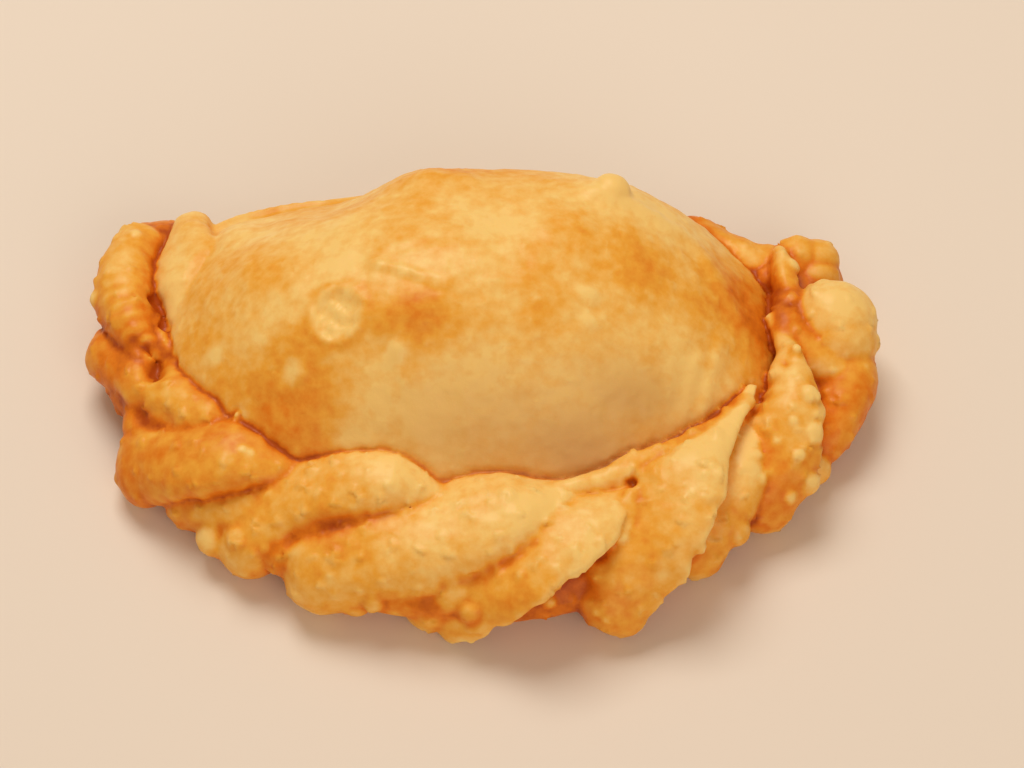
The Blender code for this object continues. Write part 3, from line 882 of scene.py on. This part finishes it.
class StudioStage(bpy.types.PropertyGroup):
    """The floor, the lights and the camera."""

    floor: bpy.props.FloatVectorProperty(
        name="Floor", description="Colour of the paper-pale floor", subtype="COLOR", size=4,
        default=linear("#e9dfd2"),
    )
    key_power: bpy.props.FloatProperty(
        name="Key light", description="Power of the large soft light", default=5.0, unit="POWER",
    )
    fill_strength: bpy.props.FloatProperty(
        name="Fill", description="Strength of the even light from all round", default=0.385,
    )
    camera_elevation: bpy.props.FloatProperty(
        name="Camera elevation", description="How steeply the camera looks down",
        default=math.radians(55.0), subtype="ANGLE",
    )
    camera_distance: bpy.props.FloatProperty(
        name="Camera distance", description="From the camera to the pastry's middle",
        default=0.425, unit="LENGTH",
    )
    view_angle: bpy.props.FloatProperty(
        name="View angle", description="The camera's horizontal angle of view",
        default=math.radians(22.0), subtype="ANGLE",
    )


SKIN_INPUTS = (
    ("Pieces", "NodeSocketObject"),
    ("Bubble spacing", "NodeSocketFloat"),
    ("Bubble radius", "NodeSocketFloat"),
    ("Bubble height", "NodeSocketFloat"),
    ("Unevenness", "NodeSocketFloat"),
    ("Seam depth", "NodeSocketFloat"),
    ("Seed", "NodeSocketInt"),
    ("Crust", "NodeSocketMaterial"),
)


def skin_tree():
    """Geometry nodes that carry the pieces' marks over to the one skin and raise its relief."""
    tree = bpy.data.node_groups.new("fried_skin", "GeometryNodeTree")
    tree.interface.new_socket("Geometry", in_out="INPUT", socket_type="NodeSocketGeometry")
    for name, kind in SKIN_INPUTS:
        tree.interface.new_socket(name, in_out="INPUT", socket_type=kind)
    tree.interface.new_socket("Geometry", in_out="OUTPUT", socket_type="NodeSocketGeometry")
    given = add(tree, "NodeGroupInput").outputs
    pieces = add(tree, "GeometryNodeObjectInfo", {"Object": given["Pieces"]}).outputs["Geometry"]
    position = add(tree, "GeometryNodeInputPosition")
    normal = add(tree, "GeometryNodeInputNormal")

    # Each mark comes from the nearest piece. The depth of a groove or a valley is how far the skin
    # lies under its own blurred shape.
    marks = {}
    for name in MARKS:
        mark = add(tree, "GeometryNodeInputNamedAttribute", {"Name": name}, data_type="FLOAT")
        mark = add(
            tree, "GeometryNodeSampleNearestSurface", {"Mesh": pieces, "Value": mark},
            data_type="FLOAT",
        )
        marks[name] = add(
            tree, "GeometryNodeBlurAttribute", {"Value": mark, "Iterations": MARK_BLUR},
            data_type="FLOAT",
        )
    for name, reach in (("groove", GROOVE_BLUR), ("valley", VALLEY_BLUR)):
        depth = add(
            tree, "GeometryNodeBlurAttribute", {"Value": position, "Iterations": reach},
            data_type="FLOAT_VECTOR",
        )
        depth = add(tree, "ShaderNodeVectorMath", {0: depth, 1: position}, operation="SUBTRACT")
        depth = add(tree, "ShaderNodeVectorMath", {0: depth, 1: normal}, operation="DOT_PRODUCT")
        marks[name] = depth.outputs["Value"]

    # Round bubbles of random sizes, the small ones more often.
    points = add(
        tree, "GeometryNodeDistributePointsOnFaces",
        {"Mesh": given["Geometry"], "Distance Min": given["Bubble spacing"],
         "Density Max": BUBBLE_TRIES, "Seed": given["Seed"]},
        distribute_method="POISSON",
    ).outputs["Points"]
    near = add(
        tree, "GeometryNodeProximity", {0: points, "Sample Position": position},
        target_element="POINTS",
    ).outputs
    luck = add(
        tree, "ShaderNodeTexWhiteNoise", {"Vector": near["Position"]}, noise_dimensions="3D"
    ).outputs["Value"]
    luck = add(tree, "ShaderNodeMath", {0: luck, 1: 2.0}, operation="POWER")
    radius = add(tree, "ShaderNodeMath", {0: luck, 1: given["Bubble radius"]}, operation="MULTIPLY")
    dome = add(tree, "ShaderNodeMath", {0: near["Distance"], 1: radius}, operation="DIVIDE")
    dome = add(tree, "ShaderNodeMath", {0: dome, 1: dome}, operation="MULTIPLY")
    dome = add(tree, "ShaderNodeMath", {0: 1.0, 1: dome}, operation="SUBTRACT", use_clamp=True)
    marks["bubble"] = dome
    on_rope = add(tree, "ShaderNodeMapRange", {"Value": marks["rope"], "To Min": POUCH_RELIEF})
    bubble = dome
    for factor in (luck, given["Bubble height"], on_rope):
        bubble = add(tree, "ShaderNodeMath", {0: bubble, 1: factor}, operation="MULTIPLY")

    # Waves and crumbs. A noise swings by a half to both sides of a half.
    swings = []
    for width, roughness, strength in ((WAVE_WIDTH, 0.55, 2.0), (CRUMB_WIDTH, 0.6, on_rope)):
        noise = add(
            tree, "ShaderNodeTexNoise",
            {"Vector": position, "Scale": 1 / (width * MM), "Detail": 2.0, "Roughness": roughness},
        )
        swing = add(tree, "ShaderNodeMath", {0: noise, 1: 0.5}, operation="SUBTRACT")
        for factor in (strength, given["Unevenness"]):
            swing = add(tree, "ShaderNodeMath", {0: swing, 1: factor}, operation="MULTIPLY")
        swings.append(swing)
    wave, crumb = swings

    # The seam's crevice is deepest where the rope's share is a half.
    seam = add(tree, "ShaderNodeMath", {0: 1.0, 1: marks["rope"]}, operation="SUBTRACT")
    for factor in (marks["rope"], 4.0, given["Seam depth"]):
        seam = add(tree, "ShaderNodeMath", {0: seam, 1: factor}, operation="MULTIPLY")

    above = add(tree, "ShaderNodeSeparateXYZ", {0: position}).outputs[2]
    clear = add(tree, "ShaderNodeMapRange", {"Value": above, "From Max": RELIEF_FADE * MM})
    height = add(
        tree, "ShaderNodeMath", {0: crumb, 1: CRUMB_SHARE, 2: wave}, operation="MULTIPLY_ADD"
    )
    for operation, other in (("ADD", bubble), ("SUBTRACT", seam), ("MULTIPLY", clear)):
        height = add(tree, "ShaderNodeMath", {0: height, 1: other}, operation=operation)
    lift = add(tree, "ShaderNodeVectorMath", {0: normal, "Scale": height}, operation="SCALE")

    skin = given["Geometry"]
    for name, mark in marks.items():
        skin = add(
            tree, "GeometryNodeStoreNamedAttribute",
            {"Geometry": skin, "Name": name, "Value": mark}, data_type="FLOAT", domain="POINT",
        )
    skin = add(tree, "GeometryNodeSetPosition", {"Geometry": skin, "Offset": lift})
    skin = add(tree, "GeometryNodeRealizeInstances", {"Geometry": skin})
    skin = add(tree, "GeometryNodeSetMaterial", {"Geometry": skin, "Material": given["Crust"]})
    add(tree, "NodeGroupOutput", {0: skin})
    return tree


def fried_wheat_dough(look):
    """Wheat dough fried in oil: satin under a thin film of oil, blond on crowns, partly as painted
    light from above, and amber in grooves, as painted shade.

    A little light goes in and comes out redder, which warms the shade.
    """
    material = bpy.data.materials.new("fried_wheat_dough")
    material.use_nodes = True
    tree = material.node_tree
    shader = tree.nodes["Principled BSDF"].inputs
    place = add(tree, "ShaderNodeTexCoord").outputs["Object"]
    mark = {
        name: add(tree, "ShaderNodeAttribute", attribute_name=name).outputs["Fac"]
        for name in (*MARKS, "groove", "valley", "bubble")
    }
    cloud, blotch, fleck, grain = (
        add(
            tree, "ShaderNodeTexNoise",
            {"Vector": place, "Scale": 1 / (width * MM), "Detail": detail, "Roughness": roughness},
        )
        for width, detail, roughness in (
            (CLOUD_WIDTH, 3.0, 0.55), (BLOTCH_WIDTH, 2.0, 0.6),
            (FLECK_WIDTH, 3.0, 0.6), (GRAIN_WIDTH, 4.0, 0.6),
        )
    )
    pores = add(
        tree, "ShaderNodeTexVoronoi", {"Vector": place, "Scale": 1 / (PORE_WIDTH * MM)},
        feature="SMOOTH_F1",
    )

    # Painted shade in hollows: grooves and valleys turn browner by their depth, on the pouch by
    # only a share of what they take on the rope.
    on_rope = add(
        tree, "ShaderNodeMath", {0: mark["rope"], 1: 1.0 - POUCH_HOLLOW_SHADE, 2: POUCH_HOLLOW_SHADE},
        operation="MULTIPLY_ADD",
    )
    hollow_shade = 0.0
    for depth, rate in ((mark["groove"], GROOVE_SHADE_TONE), (mark["valley"], VALLEY_SHADE_TONE)):
        hollow_shade = add(
            tree, "ShaderNodeMath", {0: depth, 1: rate, 2: hollow_shade}, operation="MULTIPLY_ADD"
        )
    for operation, other in (("MULTIPLY", on_rope), ("MINIMUM", HOLLOW_SHADE_LIMIT)):
        hollow_shade = add(tree, "ShaderNodeMath", {0: hollow_shade, 1: other}, operation=operation)
    # The seam's painted shade: a brown line where the rope meets the pouch, darkest where the
    # rope's share is a half.
    seam = add(tree, "ShaderNodeMath", {0: 1.0, 1: mark["rope"]}, operation="SUBTRACT")
    for operation, other in (
        ("MULTIPLY", mark["rope"]), ("MULTIPLY", 4.0), ("POWER", SEAM_SHADE_SHARPNESS),
    ):
        seam = add(tree, "ShaderNodeMath", {0: seam, 1: other}, operation=operation)

    tone = DOUGH_TONE - (CLOUD_WEIGHT + BLOTCH_WEIGHT + FLECK_WEIGHT) / 2
    for value, weight in (
        (cloud, CLOUD_WEIGHT), (blotch, BLOTCH_WEIGHT), (fleck, FLECK_WEIGHT),
        (mark["brown"], BROWN_WEIGHT), (hollow_shade, 1.0), (seam, SEAM_SHADE_WEIGHT),
        (mark["rope"], ROPE_WEIGHT), (mark["crown"], CROWN_PALE_AND_LIGHT_WEIGHT), (mark["bubble"], BUBBLE_WEIGHT),
    ):
        tone = add(
            tree, "ShaderNodeMath", {0: value, 1: weight, 2: tone}, operation="MULTIPLY_ADD"
        )
    ramp = add(tree, "ShaderNodeValToRGB", {"Fac": tone})
    stops = ramp.color_ramp.elements
    stops[0].color, stops[1].color = look.pale, look.brown
    stops.new(GOLD_TONE).color = look.gold
    stops.new(AMBER_TONE).color = look.amber
    veil = add(
        tree, "ShaderNodeMath", {0: mark["veil"], 1: VEIL_SHARE}, operation="MULTIPLY",
        use_clamp=True,
    )
    mix = add(tree, "ShaderNodeMix", {0: veil, 6: ramp, 7: look.veil}, data_type="RGBA")
    tree.links.new(mix.outputs[2], shader["Base Color"])

    gloss = add(
        tree, "ShaderNodeMapRange",
        {"Value": fleck, "To Min": look.roughness - FLECK_ROUGHNESS,
         "To Max": look.roughness + FLECK_ROUGHNESS},
    )
    tree.links.new(gloss.outputs[0], shader["Roughness"])
    for name, value in (
        ("IOR", 1.46), ("Specular IOR Level", 0.16), ("Coat Weight", 0.12),
        ("Coat Roughness", 0.25), ("Subsurface Weight", 0.06),
        ("Subsurface Radius", (1.0, 0.45, 0.15)), ("Subsurface Scale", 1.2 * MM),
    ):
        shader[name].default_value = value

    relief = add(
        tree, "ShaderNodeMath", {0: pores, 1: -PORE_SHARE, 2: grain}, operation="MULTIPLY_ADD"
    )
    bump = add(
        tree, "ShaderNodeBump",
        {"Strength": GRAIN_STRENGTH, "Distance": GRAIN_DEPTH * MM, "Height": relief},
    )
    tree.links.new(bump.outputs[0], shader["Normal"])
    return material


def outer_shell(mesh):
    """The largest connected set of corners: the skin without the pockets closed in under it."""
    left = set(mesh.verts)
    largest = set()
    while left:
        shell = {left.pop()}
        front = list(shell)
        while front:
            corner = front.pop()
            for edge in corner.link_edges:
                other = edge.other_vert(corner)
                if other not in shell:
                    shell.add(other)
                    front.append(other)
        left -= shell
        if len(shell) > len(largest):
            largest = shell
    return largest


def finish_skin(data):
    """Fill the closed pockets, then cut the underside level and close it with one flat face."""
    mesh = bmesh.new()
    mesh.from_mesh(data)
    skin = outer_shell(mesh)
    bmesh.ops.delete(mesh, geom=[v for v in mesh.verts if v not in skin], context="VERTS")
    everything = mesh.verts[:] + mesh.edges[:] + mesh.faces[:]
    cut = bmesh.ops.bisect_plane(
        mesh, geom=everything, dist=1e-6, plane_co=(0, 0, 0), plane_no=(0, 0, 1), clear_inner=True
    )
    edges = [item for item in cut["geom_cut"] if isinstance(item, bmesh.types.BMEdge)]
    bmesh.ops.holes_fill(mesh, edges=edges)
    bmesh.ops.triangulate(mesh, faces=[face for face in mesh.faces if len(face.verts) > 4])
    bmesh.ops.recalc_face_normals(mesh, faces=mesh.faces)
    mesh.to_mesh(data)
    mesh.free()


def press_dents(data):
    """Push the skin inwards round every dent's place."""
    places = [Vector(dent[:3]) * MM + PLAN_SHIFT for dent in DENTS]
    moves = []
    for vert in data.vertices:
        for dent, place in zip(DENTS, places):
            away = (vert.co - place).length / (dent.radius * MM)
            if away < DENT_REACH:
                moves.append((vert, vert.normal * (-dent.depth * MM * math.exp(-(away**2)))))
    for vert, move in moves:
        vert.co += move


def thin_underside(obj):
    """Take most of the triangles out of the skin's smooth underside, which rests on the table."""
    group = obj.vertex_groups.new(name="underside")
    low = [vert.index for vert in obj.data.vertices if vert.normal.z < UNDERSIDE_FACING]
    group.add(low, 1.0, "REPLACE")
    fewer = obj.modifiers.new("fewer_underneath", "DECIMATE")
    fewer.ratio = UNDERSIDE_RATIO
    fewer.vertex_group = group.name
    obj.data = evaluated_mesh(obj)
    obj.modifiers.clear()
    obj.vertex_groups.clear()


def evaluated_mesh(obj):
    """An object's mesh with its modifiers applied."""
    graph = bpy.context.evaluated_depsgraph_get()
    return bpy.data.meshes.new_from_object(
        obj.evaluated_get(graph), preserve_all_data_layers=True, depsgraph=graph
    )


class EMPANADA_OT_pastry(bpy.types.Operator):
    """Make the empanada: the pouch and the rope's folds under one fried skin"""

    bl_idname = "empanada.pastry"
    bl_label = "Make the empanada"

    def execute(self, context):
        sizes = context.scene.empanada_sizes
        pieces = [make_pouch(), make_core()]
        pieces += [make_fold(name, fold) for name, fold in FOLDS.items()]
        pieces += [make_blister(name, blister) for name, blister in BLISTERS.items()]
        pieces += [make_blister("bead", bead) for bead in BEADS]
        dough = pieces[0]
        with context.temp_override(active_object=dough, selected_editable_objects=pieces):
            bpy.ops.object.join()
        pastry = bpy.data.objects.new("empanada_crust", dough.data.copy())
        context.scene.collection.objects.link(pastry)
        remesh = pastry.modifiers.new("one_skin", "REMESH")
        remesh.mode = "VOXEL"
        remesh.voxel_size = sizes.voxel
        soften = pastry.modifiers.new("soften", "SMOOTH")
        soften.factor = SOFTENING
        soften.iterations = 1
        pastry.data = evaluated_mesh(pastry)
        pastry.modifiers.clear()
        finish_skin(pastry.data)
        press_dents(pastry.data)
        thin_underside(pastry)

        relief = pastry.modifiers.new("fried_skin", "NODES")
        relief.node_group = skin_tree()
        values = {
            "Pieces": dough,
            "Bubble spacing": sizes.bubble_spacing,
            "Bubble radius": sizes.bubble_radius,
            "Bubble height": sizes.bubble_height,
            "Unevenness": sizes.wave_height,
            "Seam depth": sizes.seam_depth,
            "Seed": sizes.seed,
            "Crust": fried_wheat_dough(context.scene.empanada_look),
        }
        for item in relief.node_group.interface.items_tree:
            if item.in_out == "INPUT" and item.name in values:
                relief[item.identifier] = values[item.name]
        pastry.data = evaluated_mesh(pastry)
        pastry.modifiers.clear()
        bpy.data.objects.remove(dough)
        pastry.data.shade_smooth()
        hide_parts("empanada")
        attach(pastry, "root")
        return {"FINISHED"}


class EMPANADA_OT_stage(bpy.types.Operator):
    """Make the floor, the soft lights and the camera"""

    bl_idname = "empanada.stage"
    bl_label = "Make the stage"

    def execute(self, context):
        stage = context.scene.empanada_stage
        scene = context.scene
        scene.view_settings.view_transform = "Standard"

        mesh = bmesh.new()
        bmesh.ops.create_grid(mesh, x_segments=1, y_segments=1, size=FLOOR_REACH * MM)
        data = bpy.data.meshes.new("floor")
        mesh.to_mesh(data)
        mesh.free()
        floor = bpy.data.objects.new("floor", data)
        scene.collection.objects.link(floor)
        paper = bpy.data.materials.new("matte_paper")
        paper.use_nodes = True
        shader = paper.node_tree.nodes["Principled BSDF"].inputs
        shader["Base Color"].default_value = stage.floor
        shader["Roughness"].default_value = 0.9
        data.materials.append(paper)

        world = bpy.data.worlds.new("soft_room")
        world.use_nodes = True
        background = world.node_tree.nodes["Background"].inputs
        background["Color"].default_value = linear(ROOM_COLOUR)
        background["Strength"].default_value = stage.fill_strength
        scene.world = world

        for name, place, width, share, colour in LIGHTS:
            lamp = bpy.data.lights.new(name, "AREA")
            lamp.size = width * MM
            lamp.energy = stage.key_power * share
            lamp.color = linear(colour)[:3]
            light = bpy.data.objects.new(name, lamp)
            light.location = place * MM
            light.rotation_euler = (-place).to_track_quat("-Z", "Y").to_euler()
            scene.collection.objects.link(light)

        lens = bpy.data.cameras.new("camera")
        lens.angle = stage.view_angle
        lens.clip_start = 0.01
        camera = bpy.data.objects.new("camera", lens)
        aim = CAMERA_AIM * MM + PLAN_SHIFT
        back = Vector((0.0, -math.cos(stage.camera_elevation), math.sin(stage.camera_elevation)))
        camera.location = aim + back * stage.camera_distance
        camera.rotation_euler = (-back).to_track_quat("-Z", "Y").to_euler()
        scene.collection.objects.link(camera)
        scene.camera = camera
        return {"FINISHED"}


class EMPANADA_PT_panel(bpy.types.Panel):
    """Lists the sizes, the look and the two makers"""

    bl_label = "Empanada"
    bl_idname = "EMPANADA_PT_panel"
    bl_space_type = "VIEW_3D"
    bl_region_type = "UI"
    bl_category = "Empanada"

    def draw(self, context):
        for group, operator in (
            (context.scene.empanada_sizes, None),
            (context.scene.empanada_look, EMPANADA_OT_pastry.bl_idname),
            (context.scene.empanada_stage, EMPANADA_OT_stage.bl_idname),
        ):
            box = self.layout.box()
            for name in group.__annotations__:
                box.prop(group, name)
            if operator:
                box.operator(operator)


CLASSES = (
    PastrySizes, CrustLook, StudioStage, EMPANADA_OT_pastry, EMPANADA_OT_stage, EMPANADA_PT_panel,
)


def register():
    for cls in CLASSES:
        bpy.utils.register_class(cls)
    bpy.types.Scene.empanada_sizes = bpy.props.PointerProperty(type=PastrySizes)
    bpy.types.Scene.empanada_look = bpy.props.PointerProperty(type=CrustLook)
    bpy.types.Scene.empanada_stage = bpy.props.PointerProperty(type=StudioStage)


def unregister():
    del bpy.types.Scene.empanada_stage
    del bpy.types.Scene.empanada_look
    del bpy.types.Scene.empanada_sizes
    for cls in reversed(CLASSES):
        bpy.utils.unregister_class(cls)


def main():
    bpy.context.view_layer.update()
    register()
    bpy.ops.empanada.pastry()
    bpy.ops.empanada.stage()


if __name__ == "__main__":
    main()
